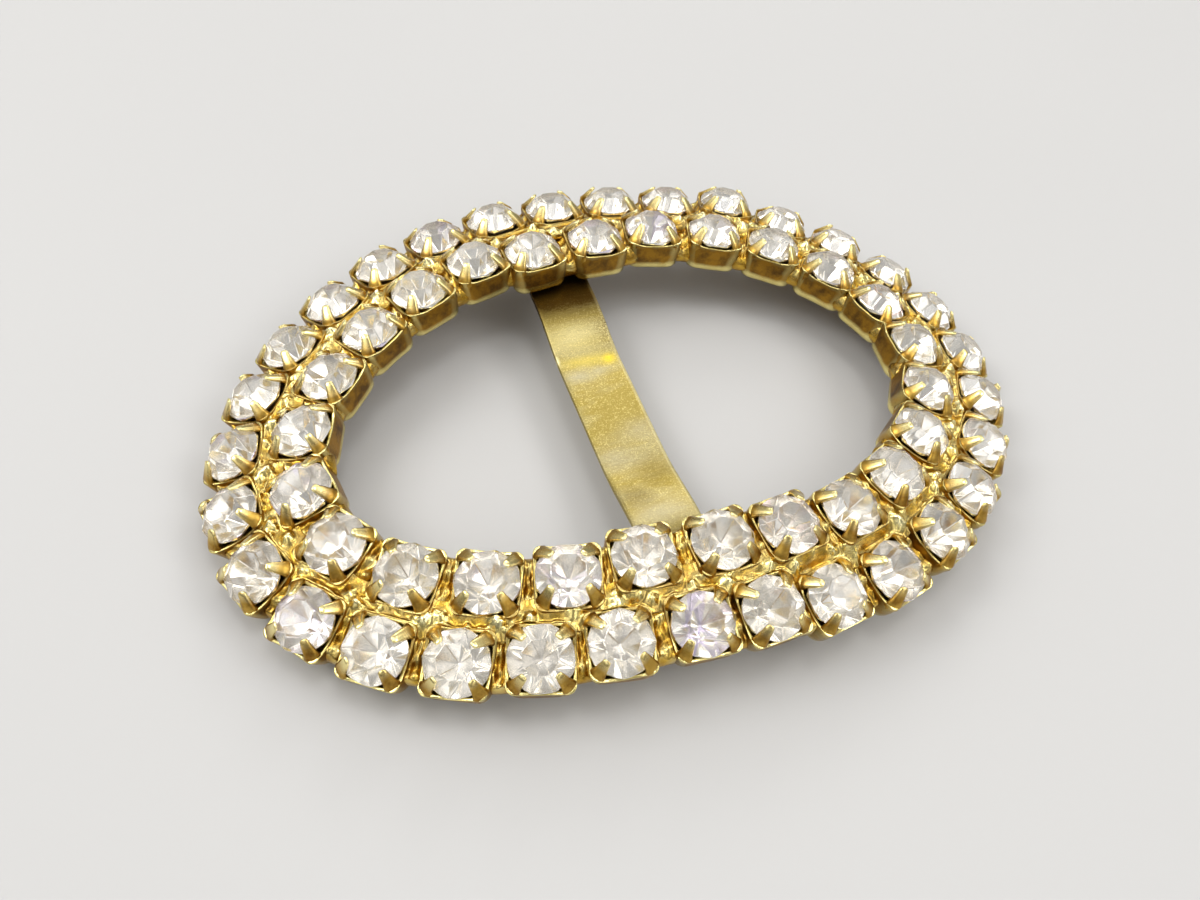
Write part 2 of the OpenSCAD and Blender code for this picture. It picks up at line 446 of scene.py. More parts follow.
@dataclass(frozen=True)
class Wiring:
    """A material's nodes, with short calls to add and join them."""

    tree: bpy.types.NodeTree

    def give(self, target: Socket, value: Value) -> None:
        """Sets a socket.

        Args:
            target: The socket.
            value: Its value, or the socket that feeds it.
        """
        if isinstance(value, bpy.types.NodeSocket):
            self.tree.links.new(value, target)
        else:
            target.default_value = (*value, 1.0) if target.type == "RGBA" else value

    def settle(self, made: Node, **settings: Value | str) -> Node:
        """Sets a node up.

        Args:
            made: The node.
            settings: Its properties by name, and its sockets by name with underscores for spaces.

        Returns:
            The same node.
        """
        for key, value in settings.items():
            if hasattr(made, key):
                setattr(made, key, value)
            else:
                self.give(made.inputs[key.replace("_", " ")], value)
        return made

    def node(self, kind: str, **settings: Value | str) -> Node:
        """Adds a node, by its type without its prefix, and sets it up."""
        return self.settle(self.tree.nodes.new("ShaderNode" + kind), **settings)

    def noise(self, noise: Noise) -> Socket:
        """Lays a noise over the piece.

        Args:
            noise: The noise.

        Returns:
            Its values, from nought to one.
        """
        place = self.node("TexCoord").outputs["Object"]
        mapped = self.node("Mapping", Vector=place, Scale=noise.stretch).outputs["Vector"]
        made = self.node("TexNoise", Vector=mapped, Scale=noise.scale, Detail=noise.detail)
        return self.settle(made, Roughness=noise.roughness).outputs["Fac"]

    def ramp(self, source: Socket, span: Span) -> Socket:
        """Spreads a range of values to nought to one, and holds it there."""
        return self.node("MapRange", Value=source, From_Min=span[0], From_Max=span[1]).outputs["Result"]

    def scaled(self, source: Socket, span: Span) -> Socket:
        """Spreads nought to one over a range of values."""
        return self.node("MapRange", Value=source, To_Min=span[0], To_Max=span[1]).outputs["Result"]

    def pair(self, made: Node, start: int, first: Value, second: Value) -> Node:
        """Sets two sockets of a node that share a name.

        Args:
            made: The node.
            start: The first socket's number.
            first: The first value.
            second: The second value.

        Returns:
            The same node.
        """
        self.give(made.inputs[start], first)
        self.give(made.inputs[start + 1], second)
        return made

    def maths(self, kind: str, first: Socket, second: Socket | float) -> Socket:
        """One sum of two values, by its kind."""
        return self.pair(self.node("Math", operation=kind), 0, first, second).outputs[0]

    def times(self, first: Socket, second: Socket | float) -> Socket:
        """The product of two values."""
        return self.maths("MULTIPLY", first, second)

    def broken(self, source: Socket, noise: Socket, size: float) -> Socket:
        """A value broken up by a noise, up and down by a size."""
        return self.maths("ADD", source, self.scaled(noise, (-size, size)))

    def mark(self, name: str) -> Socket:
        """A value kept on the piece's points."""
        return self.node("Attribute", attribute_name=name).outputs["Fac"]

    def mixed(self, share: Socket, first: Socket | Colour, second: Socket | Colour) -> Socket:
        """Two colours mixed, by the second one's share."""
        return self.pair(self.node("Mix", data_type="RGBA", Factor=share), 6, first, second).outputs[2]

    def bump(self, height: Socket, depth_mm: float, **under: Socket) -> Socket:
        """Relief by a height of nought to one, its depth in millimetres, over the Normal of another."""
        made = self.node("Bump", Height=height, Strength=1.0, Distance=depth_mm * MM, **under)
        return made.outputs["Normal"]


def new_material(name: str, **settings: Value) -> tuple[Material, Wiring, Node]:
    """Makes a material with one principled shader.

    Args:
        name: The material's name.
        settings: The values of the shader's sockets, by name with underscores for spaces.

    Returns:
        The material, its wiring and its shader.
    """
    material = bpy.data.materials.new(name)
    material.use_nodes = True
    wiring = Wiring(material.node_tree)
    return material, wiring, wiring.settle(material.node_tree.nodes["Principled BSDF"], **settings)


@dataclass(frozen=True)
class GiltFinish:
    """Gilt brass: bright with wear and painted highlights, amber to brown with painted shade and cloudy tone,
    and a painted cream highlight on the highest solder.

    Polish holds the roughness of bright and of dimmed metal. The spans say at which values of the mark of
    wear and painted light, or of the noise, the metal goes from one colour to the next. The relief's depth is
    shared out to clouds and grain.
    """

    kind: Gilt
    bright: Colour
    amber: Colour
    brown: Colour
    polish: Span
    dust: float
    relief_mm: float
    glint: Colour = (1.0, 0.90, 0.48)
    cloud: Noise = Noise(900.0, 4.0, 0.6)
    grain: Noise = Noise(6500.0, 3.0, 0.6)
    speck: Noise = Noise(14000.0, 2.0, 0.5)
    dimmed: Span = (0.38, 0.66)
    rubbed_and_highlit: Span = (0.15, 0.85)
    glinting: Span = (0.9, 1.25)
    dusty: Span = (0.64, 0.74)
    grain_rough: Span = (-0.04, 0.08)
    cloud_break: float = 0.12
    wear_and_light_break: float = 0.35
    cloud_relief: float = 2.0
    grain_relief: float = 0.35

    def build(self) -> Material:
        """Makes the material: bright by its mark of wear and painted light, dimmed by noise elsewhere.

        Returns:
            The material.
        """
        material, wiring, shader = new_material(f"gilt_{self.kind.value}", Metallic=1.0)
        wear_and_painted_light = wiring.mark(WEAR_AND_PAINTED_LIGHT)
        cloud, grain, speck = wiring.noise(self.cloud), wiring.noise(self.grain), wiring.noise(self.speck)
        dull = wiring.ramp(wiring.broken(cloud, grain, self.cloud_break), self.dimmed)
        # Share of the bright colour, by the mark of wear and painted light; the amber and brown below it are
        # mostly painted shade.
        share = wiring.ramp(wiring.broken(wear_and_painted_light, cloud, self.wear_and_light_break), self.rubbed_and_highlit)
        colour = wiring.mixed(share, wiring.mixed(dull, self.amber, self.brown), self.bright)
        # Painted cream highlight where the mark is highest.
        colour = wiring.mixed(wiring.ramp(wear_and_painted_light, self.glinting), colour, self.glint)
        dust = wiring.times(wiring.ramp(speck, self.dusty), self.dust)
        rough = wiring.scaled(share, self.polish[::-1])
        relief = wiring.bump(cloud, self.relief_mm * self.cloud_relief)
        wiring.settle(
            shader,
            Base_Color=wiring.mixed(dust, colour, self.brown),
            Roughness=wiring.maths("ADD", rough, wiring.scaled(grain, self.grain_rough)),
            Normal=wiring.bump(grain, self.relief_mm * self.grain_relief, Normal=relief),
        )
        return material


# The amber and brown of each finish are mostly the painted shade side of its mark; brown is also its dust.
GILTS = (
    GiltFinish(
        Gilt.CUP, bright=(0.76, 0.64, 0.24), amber=(0.38, 0.20, 0.026), brown=(0.135, 0.072, 0.019),
        polish=(0.14, 0.36), dust=0.7, relief_mm=0.03,
    ),
    GiltFinish(
        Gilt.PRONG, bright=(0.88, 0.755, 0.35), amber=(0.53, 0.33, 0.063), brown=(0.25, 0.12, 0.018),
        polish=(0.16, 0.30), dust=0.2, relief_mm=0.012,
    ),
    GiltFinish(
        Gilt.SOLDER, bright=(0.82, 0.68, 0.26), amber=(0.64, 0.40, 0.054), brown=(0.285, 0.153, 0.029),
        polish=(0.10, 0.24), dust=0.3, relief_mm=0.03,
    ),
)


@dataclass(frozen=True)
class GlassFinish:
    """The clear front of a stone, lightly scratched."""

    tint: Colour = (1.0, 0.993, 0.978)
    index: float = 1.57
    scratches: Noise = Noise(1800.0, 4.0, 0.65)
    scratched: Span = (0.42, 0.72)
    roughness: Span = (0.005, 0.07)

    def build(self) -> Material:
        """Makes the glass: a clear refracting shader, a little rough where it is scratched.

        Returns:
            The material.
        """
        material, wiring, shader = new_material(
            "stone_glass", Base_Color=self.tint, IOR=self.index, Transmission_Weight=1.0
        )
        wear = wiring.ramp(wiring.noise(self.scratches), self.scratched)
        wiring.settle(shader, Roughness=wiring.scaled(wear, self.roughness))
        return material


@dataclass(frozen=True)
class FoilFinish:
    """The silvered back of a stone, which throws the light back with a little colour on a few facets."""

    silver: Colour = (0.985, 0.965, 0.93)
    lilac: Colour = (0.84, 0.78, 0.97)
    rose: Colour = (0.98, 0.84, 0.86)
    cloudy: Colour = (0.78, 0.74, 0.65)
    lilac_fire: Span = (0.9, 0.97)
    rose_fire: Span = (0.07, 0.02)
    haze: Noise = Noise(1100.0, 2.0)
    hazy: Span = (0.42, 0.72)
    haze_share: float = 0.5
    metallic: float = 0.88
    roughness: Span = (0.13, 0.28)

    def build(self) -> Material:
        """Makes the foil: a soft mirror, tinted by the mark of its fire and clouded by noise.

        Returns:
            The material.
        """
        material, wiring, shader = new_material("stone_foil", Metallic=self.metallic)
        fire = wiring.mark(FIRE)
        colour = wiring.mixed(wiring.ramp(fire, self.lilac_fire), self.silver, self.lilac)
        colour = wiring.mixed(wiring.ramp(fire, self.rose_fire), colour, self.rose)
        haze = wiring.ramp(wiring.noise(self.haze), self.hazy)
        colour = wiring.mixed(wiring.times(haze, self.haze_share), colour, self.cloudy)
        wiring.settle(shader, Base_Color=colour, Roughness=wiring.scaled(haze, self.roughness))
        return material


@dataclass(frozen=True)
class BarFinish:
    """Satin brass strip, brushed across, with pale bands of mottled wear and painted reflection, painted
    sparkle highlights, and marks in places, among them painted shade and painted highlights.
    """

    brass: Colour = (0.38, 0.29, 0.073)
    pale: Colour = (0.435, 0.365, 0.165)
    spark: Colour = (0.90, 0.76, 0.32)
    stain: Colour = (0.22, 0.16, 0.05)
    tints: tuple[tuple[Mark, Colour], ...] = (
        (Mark.GREY, (0.46, 0.41, 0.26)),
        # Dark brown, also the painted shadow and shade at the bar's ends under the cups.
        (Mark.BROWN, (0.075, 0.042, 0.008)),
        (Mark.YELLOW, (0.95, 0.72, 0.05)),
        # Pale cream, also painted highlights along the edges.
        (Mark.RUBBED_AND_HIGHLIT, (0.95, 0.87, 0.50)),
    )
    cloud: Noise = Noise(420.0, 4.0, 0.6, (0.3, 1.0, 1.0))
    grain: Noise = Noise(5200.0, 4.0, 0.65, (0.4, 1.0, 1.0))
    speck: Noise = Noise(9000.0, 3.0, 0.6)
    banded: Span = (0.42, 0.62)
    sparkling: Span = (0.46, 0.34)
    spark_share: float = 0.5
    speckled: Span = (0.46, 0.62)
    tarnished: Span = (0.54, 0.74)
    tarnish_share: float = 0.35
    tint_grain: Span = (0.5, 1.3)
    roughness: Span = (0.30, 0.52)
    relief_mm: float = 0.022

    def build(self) -> Material:
        """Makes the brass: pale bands of wear and painted reflection, painted sparkle, tints by their marks,
        brushed relief, and dark speckled stains.

        Returns:
            The material.
        """
        material, wiring, shader = new_material("bar_brass", Metallic=1.0)
        cloud, grain, speck = wiring.noise(self.cloud), wiring.noise(self.grain), wiring.noise(self.speck)
        # Pale bands: partly mottled wear, partly painted reflection off the bar's bends.
        colour = wiring.mixed(wiring.ramp(cloud, self.banded), self.brass, self.pale)
        # Painted sparkle highlights in fine specks.
        spark = wiring.times(wiring.ramp(speck, self.sparkling), self.spark_share)
        colour = wiring.mixed(spark, colour, self.spark)
        for mark, tint in self.tints:
            share = wiring.times(wiring.mark(mark.value), wiring.scaled(grain, self.tint_grain))
            colour = wiring.mixed(share, colour, tint)
        dark = wiring.times(wiring.ramp(speck, self.speckled), wiring.mark(Mark.STAIN.value))
        colour = wiring.mixed(dark, colour, self.stain)
        tarnish = wiring.times(wiring.ramp(speck, self.tarnished), self.tarnish_share)
        wiring.settle(
            shader,
            Base_Color=wiring.mixed(tarnish, colour, self.stain),
            Roughness=wiring.scaled(grain, self.roughness),
            Normal=wiring.bump(grain, self.relief_mm),
        )
        return material


# Pieces


@dataclass
class StoneRow:
    """A row of round stones, each with an eight-sided table, and foil on its pointed back."""

    row: Row
    poses: Poses
    glass: Material
    foil: Material
    radius: float = 2.17
    flat_radius: float = 2.09
    table_radius: float = 1.18
    crown: float = 0.95
    girdle: float = 0.13
    pavilion: float = 1.9
    facets: int = 8
    around: int = 32
    tilt: float = 1.2
    bevel: float = 0.035
    bevel_from: float = 15.0
    seed: int = 16

    def template(self) -> tuple[Array, list[Patch]]:
        """Works out one stone.

        Each crown facet is a plane that falls from the table to one side of an eight-sided edge, whose
        corners are rounded by a circle: the plane's height is its slope times how far a point lies inside
        that side. The back is the same with its facets meeting at a point.

        Returns:
            The points, and the surface of the table and crown in glass, and of the edge and back in foil.
        """
        n = self.around
        angle = 2 * np.pi * np.arange(n) / n
        facet = 2 * np.pi / self.facets
        off = (angle + facet / 2) % facet - facet / 2
        apothem = self.table_radius * math.cos(facet / 2)
        edge = np.minimum(self.radius, self.flat_radius / np.cos(off))
        inside = self.flat_radius - edge * np.cos(off)
        rings = [
            (edge, -self.girdle - self.pavilion / self.flat_radius * inside),
            (edge, self.crown / (self.flat_radius - apothem) * inside),
            (apothem / np.cos(off), self.crown + 0 * off),
        ]
        points = [np.stack([r * np.cos(angle), r * np.sin(angle), z], -1) for r, z in rings]
        poles = np.array([[0, 0, -self.girdle - self.pavilion], [0, 0, self.crown]])
        edge_quads, crown_quads = np.split(ring_quads(3, n), 2)
        return np.concatenate([*points, poles]), [
            Patch(ring_fan(3 * n + 1, 2 * n, n, True), False),
            Patch(crown_quads, False),
            Patch(edge_quads, False, 1),
            Patch(ring_fan(3 * n, 0, n, False), False, 1),
        ]

    def build(self) -> None:
        """Makes the row as one piece, each stone turned at random and tilted a little in its cup."""
        draw = np.random.default_rng(self.seed)
        points, patches = self.template()
        count = len(self.poses.centre)
        spin = rotations(Axis.Z, draw.uniform(0, 2 * np.pi / self.facets, count))
        tip = rotations(Axis.X, np.radians(draw.normal(0, self.tilt, count)))
        tip = tip @ rotations(Axis.Y, np.radians(draw.normal(0, self.tilt, count)))
        local = np.einsum("nij,vj->nvi", tip @ spin, points)
        wedge = np.concatenate([np.tile(np.arange(self.around) * self.facets // self.around, 3), [0, 0]])
        fire = draw.uniform(0, 1, (count, self.facets))[:, wedge]
        materials = [self.glass, self.foil]
        name = f"{self.row.value}_crystals"
        piece = make_piece(name, self.poses.place(local), patches, materials, {FIRE: fire})
        bevel = piece.modifiers.new("soft_edges", "BEVEL")
        bevel.width = self.bevel * MM
        bevel.segments = 1
        bevel.limit_method = "ANGLE"
        bevel.angle_limit = math.radians(self.bevel_from)
        finish_piece(piece, "clear_stone", f"{self.row.value}_stones")


@dataclass
class GiltPart:
    """A part of the soldered setting, in one gilt finish."""

    gilt: Material

    def keep(self, name: str, points: Array, patches: list[Patch], marks: dict[str, Array]) -> None:
        """Makes the part's piece, which stands for the setting together with the other parts."""
        finish_piece(make_piece(name, points, patches, [self.gilt], marks), "gilt_brass", "setting_frame")


@dataclass
class RowPart(GiltPart):
    """A part of the setting that repeats from cup to cup in a row."""

    row: Row
    poses: Poses


@dataclass
class CupRow(RowPart):
    """A row of square cups with rounded corners and a rim that rises to its prongs."""

    half: float = 2.17
    wall: float = 0.24
    depth: float = 2.5
    seat: float = 2.15
    rim: float = 0.32
    rise: float = 0.26
    rise_span: Span = (0.3, 0.75)
    foot: float = 0.48
    waver: Span = (0.01, 0.04)
    least_corner: float = 0.1
    corner_shine: float = 0.35
    shine_inset: float = 0.8
    floor_wear_and_light: Span = (0.2, 0.0)
    # Share of brightness kept on the side beside solder: painted shade there.
    dimmed: float = 0.5
    flats: int = 7
    arcs: int = 5
    seed: int = 23

    def outline(self, inset: float, corner: float) -> tuple[Array, Array]:
        """A square with round corners, taken in by a distance.

        Each side is a straight run followed by a quarter circle about the corner's own centre.

        Args:
            inset: How far the square is taken in.
            corner: The corners' radius before that.

        Returns:
            The points anticlockwise, and how near each is to a corner, from nought to one.
        """
        radius = max(corner - inset, self.least_corner)
        reach = self.half - inset - radius
        run = np.linspace(-reach, reach, self.flats, endpoint=False)
        bend = np.linspace(0, np.pi / 2, self.arcs, endpoint=False)
        side = np.concatenate([
            np.stack([np.full(self.flats, self.half - inset), run], -1),
            np.stack([reach + radius * np.cos(bend), reach + radius * np.sin(bend)], -1),
        ])
        near = np.concatenate([np.abs(run) / self.half, np.ones(self.arcs)])
        turns = np.pi / 2 * np.arange(4)
        c, s = np.cos(turns)[:, None], np.sin(turns)[:, None]
        whole = np.stack([c * side[:, 0] - s * side[:, 1], s * side[:, 0] + c * side[:, 1]], -1)
        return whole.reshape(-1, 2), np.tile(near, 4)

    def profile(self) -> Array:
        """Lists rings from the underside up the wall, over the rim and down the seat inside.

        Returns:
            Rows of inset, corner radius, height, share of the rim's rise, and wear with painted light: high
            on the rim and lower lip for wear and painted highlight, low on the walls for painted shade.
        """
        foot, wall, top, low = self.foot, self.wall, -self.rim, -self.depth
        bend = np.radians([20.0, 45.0, 70.0, 90.0])
        lip = [(foot * (1 - math.sin(b)), 0.95, low + foot * (1 - math.cos(b)), 0.0, 0.8) for b in bend]
        return np.array([
            (0.8, 1.0, low, 0.0, 0.2),
            (foot, 0.98, low, 0.0, 0.5),
            *lip,
            (-0.02, 0.88, -1.65, 0.0, 0.0),
            (-0.03, 0.80, -1.2, 0.15, 0.0),
            (-0.01, 0.66, -0.75, 0.6, 0.05),
            (0.0, 0.56, top - 0.06, 1.0, 0.3),
            (0.015, 0.54, top - 0.01, 1.0, 0.95),
            (0.04, 0.54, top, 1.0, 1.0),
            (wall - 0.04, 0.56, top, 1.0, 1.0),
            (wall, 0.58, top - 0.04, 1.0, 0.9),
            (0.32, 0.62, -0.48, 1.0, 0.9),
            (0.44, 0.62, -0.66, 1.2, 0.9),
            (0.85, 0.62, -1.12, 1.6, 0.5),
        ])

    def build(self) -> None:
        """Makes the row of cups as one piece.

        Each wall is pushed in and out a little by two waves round the cup, different for each cup. The cup
        is brighter on its free side, from wear and a painted highlight, with painted highlights down its
        corners and painted shade beside solder.
        """
        draw = np.random.default_rng(self.seed)
        count = len(self.poses.centre)
        free_side = -1.0 if self.row is Row.INNER else 1.0
        low, high = self.rise_span
        rings = []
        wear_and_painted_light = []
        for inset, corner, height, lift, wear in self.profile():
            flat, near = self.outline(inset, corner)
            rise = self.rise * np.clip((near - low) / (high - low), 0, 1) ** 2
            rings.append(np.concatenate([flat, (height + lift * rise)[:, None]], -1))
            free = np.clip(free_side * flat[:, 1] / self.half, 0, 1)
            # Painted highlights down the rounded corners, and painted shade on the side beside solder.
            corners = self.corner_shine * (near >= 1.0) * (inset < self.shine_inset)
            wear_and_painted_light.append(np.clip(wear + corners, 0, 1) * (self.dimmed + (1 - self.dimmed) * free))
        poles = np.array([[0, 0, -self.depth], [0, 0, -self.seat]])
        points = np.concatenate([*rings, poles])
        angle = np.arctan2(points[:, 1], points[:, 0])
        phase = draw.uniform(0, 2 * np.pi, (2, count, 1))
        size = draw.uniform(*self.waver, (2, count, 1))
        slant = 3 * angle + 2 * points[:, 2]
        push = size[0] * np.sin(2 * angle + phase[0]) + size[1] * np.sin(slant + phase[1])
        push[:, -2:] = 0
        outward = np.stack([np.cos(angle), np.sin(angle), 0 * angle], -1)
        placed = self.poses.place(points[None] + push[..., None] * outward)
        marks = {WEAR_AND_PAINTED_LIGHT: np.concatenate([*wear_and_painted_light, self.floor_wear_and_light])}
        self.keep(f"{self.row.value}_cups", placed, tube(len(rings), len(rings[0])), marks)


@dataclass
class ProngRow(RowPart):
    """Four prongs to a cup, bent over the stone from the cup's corners.

    A row of the path holds reach, height, half width, half thickness and curl. The spreads are of the prongs'
    length, and of their turn and tip in degrees.
    """

    path: tuple[tuple[float, float, float, float, float], ...] = (
        (2.60, -1.60, 0.38, 0.10, 0.26),
        (2.66, -0.80, 0.56, 0.15, 0.34),
        (2.67, -0.36, 0.60, 0.18, 0.30),
        (2.54, -0.10, 0.55, 0.19, 0.18),
        (2.26, 0.13, 0.45, 0.17, 0.06),
        (1.95, 0.42, 0.37, 0.15, 0.01),
        (1.71, 0.66, 0.31, 0.13, 0.0),
        (1.54, 0.84, 0.26, 0.11, 0.0),
        (1.48, 0.89, 0.19, 0.06, 0.0),
    )
    squareness: float = 0.5
    loose_from: float = -0.1
    length_spread: float = 0.06
    turn_spread: float = 5.0
    tip_spread: float = 3.0
    cap_rise: float = 0.05
    cap_back: float = 0.02
    bright_from: float = -0.2
    near_shade: float = 0.5
    near_shade_over: float = 24.0
    around: int = 8
    seed: int = 37

    def squared(self, wave: Array) -> Array:
        """A sine or cosine raised to a power under one with its sign kept, which makes a circle square."""
        return np.sign(wave) * np.abs(wave) ** self.squareness

    def template(self) -> Array:
        """Works out one prong over the X axis.

        A prong is a flattened tube: its section is a circle drawn out to a width and a thickness, with both
        axes squared so that its faces are flat. Low down its edges fall back round the cup's corner by the
        curl times the square of their share of the width.

        Returns:
            The points, ring by ring, and the poles of the foot and the tip.
        """
        reach, height, wide, thick, curl = np.array(self.path).T
        step = np.gradient(np.stack([reach, height], -1), axis=0)
        step /= np.linalg.norm(step, axis=1, keepdims=True)
        angle = 2 * np.pi * (np.arange(self.around) + 0.5) / self.around
        across = self.squared(np.sin(angle))
        through = thick[:, None] * self.squared(np.cos(angle))
        x = reach[:, None] + through * step[:, 1:2] - curl[:, None] * across**2
        z = height[:, None] - through * step[:, 0:1]
        points = np.stack([x, wide[:, None] * across, z], -1).reshape(-1, 3)
        foot = [reach[0], 0, height[0] - self.cap_rise]
        tip = [reach[-1] - self.cap_back, 0, height[-1] + self.cap_rise]
        return np.concatenate([points, [foot, tip]])

    def build(self) -> None:
        """Makes the row's prongs as one piece.

        Each is turned, tipped and stretched a little, from a height upwards. A prong grows brighter
        towards its tip, from wear and a painted highlight, and gets painted shade the more it faces the near
        side and stands on it.
        """
        draw = np.random.default_rng(self.seed)
        points = self.template()
        cups = len(self.poses.centre)
        stretch = draw.normal(1.0, self.length_spread, 4 * cups) - 1
        skew = np.tan(np.radians(draw.normal(0, self.turn_spread, 4 * cups)))
        tip = np.tan(np.radians(draw.normal(0, self.tip_spread, 4 * cups)))
        above = np.clip(points[:, 2] - self.loose_from, 0, None)
        local = points + above[:, None] * np.stack([tip, skew, stretch], -1)[:, None, :]
        corner = rotations(Axis.Z, np.tile(np.pi / 4 + np.pi / 2 * np.arange(4), cups))
        local = np.einsum("nij,nvj->nvi", corner, local)
        placed = self.poses.place(local.reshape(cups, -1, 3)).reshape(local.shape)
        heading = np.einsum("nij,kj->nki", self.poses.turn, corner[:4, :, 0])
        # Painted shade on prongs that face the near side and stand on it.
        near_side = np.clip(0.5 - self.poses.centre[:, 1:2] / self.near_shade_over, 0, 1)
        dimmed = self.near_shade * near_side * np.clip(-heading[..., 1], 0, 1)
        heights = [row[1] - self.bright_from for row in self.path]
        climbed = np.concatenate([np.repeat(heights, self.around), [0.0, 1.0]])
        marks = {WEAR_AND_PAINTED_LIGHT: np.clip(climbed - dimmed.reshape(-1, 1), 0, 1)}
        self.keep(f"{self.row.value}_prongs", placed, tube(len(self.path), self.around), marks)


@dataclass
class RowSolder(RowPart):
    """Solder between each cup and the next in its row, which climbs both walls and ends in a rounded face.

    A wave of its top holds its size, its turns along the patch and its turns across it.
    """

    walls: Walls
    half_width: float = 0.62
    reach: float = 1.82
    reach_spread: float = 0.05
    top: float = -0.78
    top_spread: float = 0.06
    waves: tuple[tuple[float, float, float], ...] = ((0.1, 2.6, 2.0), (0.07, 6.1, -3.0))
    climb: float = 0.36
    inside_drop: float = 0.9
    bottom: float = -2.1
    bottom_wave: float = 0.5
    round_end: float = 0.5
    end_fold: float = 0.97
    meeting: float = 0.15
    shine: float = 0.34
    wave_shine: float = 2.4
    end_shine: float = 0.3
    wall_shade: float = 0.35
    along: int = 30
    across: int = 9
    seed: int = 41

    def frames(self) -> Poses:
        """Finds the middles between neighbours.

        Returns:
            The middles, with X towards the next cup and Z between the two cups' own.
        """
        after = np.roll(self.poses.centre, -1, axis=0)
        step = after - self.poses.centre
        up = self.poses.turn[:, :, 2] + np.roll(self.poses.turn[:, :, 2], -1, axis=0)
        x = step / np.linalg.norm(step, axis=1, keepdims=True)
        y = np.cross(up, x)
        y /= np.linalg.norm(y, axis=1, keepdims=True)
        return Poses((self.poses.centre + after) / 2, np.stack([x, y, np.cross(x, y)], -1))

    def meetings(self) -> Array:
        """Points between neighbours' corners on the side that faces the other row."""
        towards = 1.0 if self.row is Row.INNER else -1.0
        return self.frames().place(np.array([[0.0, towards * (self.walls.half + self.meeting), 0.0]]))[:, 0]

    def build(self) -> None:
        """Makes the row's solder as one piece.

        Each patch is a loop of top and bottom points, carried across the row. Towards its ends the loop
        closes on its own middle height by sqrt(1 - fold * s * s), where s goes from nought to one over its
        end. The top has two slanting waves of its own, and each patch has its own reach at either end.
        """
        draw = np.random.default_rng(self.seed)
        count = len(self.poses.centre)
        x = np.linspace(-self.half_width, self.half_width, self.across)
        v = np.linspace(-1, 1, self.along)
        ends = self.reach * draw.normal(1.0, self.reach_spread, (count, 2, 1))
        y = v * np.where(v < 0, ends[:, 0], ends[:, 1])
        phases = draw.uniform(0, 2 * np.pi, (2, count, 1, 1))
        wave = sum(
            size * np.sin(along * y[..., None] + across * x + phase)
            for (size, along, across), phase in zip(self.waves, phases)
        )
        top = np.empty((count, self.along, self.across, 3))
        top[..., 0] = x
        top[..., 1] = y[..., None]
        top[..., 2] = self.top + wave + draw.normal(0, self.top_spread, (count, 1, 1))
        frames = self.frames()
        near = self.walls.survey(frames.place(top.reshape(count, -1, 3)))[0]
        change, close = self.walls.meniscus(near, self.climb, self.inside_drop)
        top[..., 2] += change.reshape(wave.shape)
        under = top[:, :, ::-1].copy()
        under[..., 2] = self.bottom + self.bottom_wave * wave[:, :, ::-1]
        loop = np.concatenate([top, under], axis=2)
        to_end = np.minimum(np.abs(v + 1), np.abs(v - 1)) * self.reach
        s = np.clip(1 - to_end / self.round_end, 0, 1)
        fold = np.sqrt(1 - self.end_fold * s * s)[None, :, None]
        middle = (self.top + self.bottom) / 2
        loop[..., 2] = middle + (loop[..., 2] - middle) * fold
        poles = np.stack([np.zeros((count, 2)), y[:, [0, -1]], np.full((count, 2), middle)], -1)
        points = np.concatenate([loop.reshape(count, -1, 3), poles], axis=1)
        wear_and_painted_light = np.zeros(loop.shape[:3])
        # Painted highlights on the wave crests, and painted shade where the solder meets a wall.
        wear_and_painted_light[:, :, :self.across] = (
            self.shine + self.wave_shine * wave - self.wall_shade * close.reshape(wave.shape)
        )
        wear_and_painted_light = np.concatenate([wear_and_painted_light.reshape(count, -1), np.full((count, 2), self.end_shine)], axis=1)
        patches = tube(self.along, loop.shape[2])
        self.keep(f"{self.row.value}_joints", frames.place(points), patches, {WEAR_AND_PAINTED_LIGHT: wear_and_painted_light})


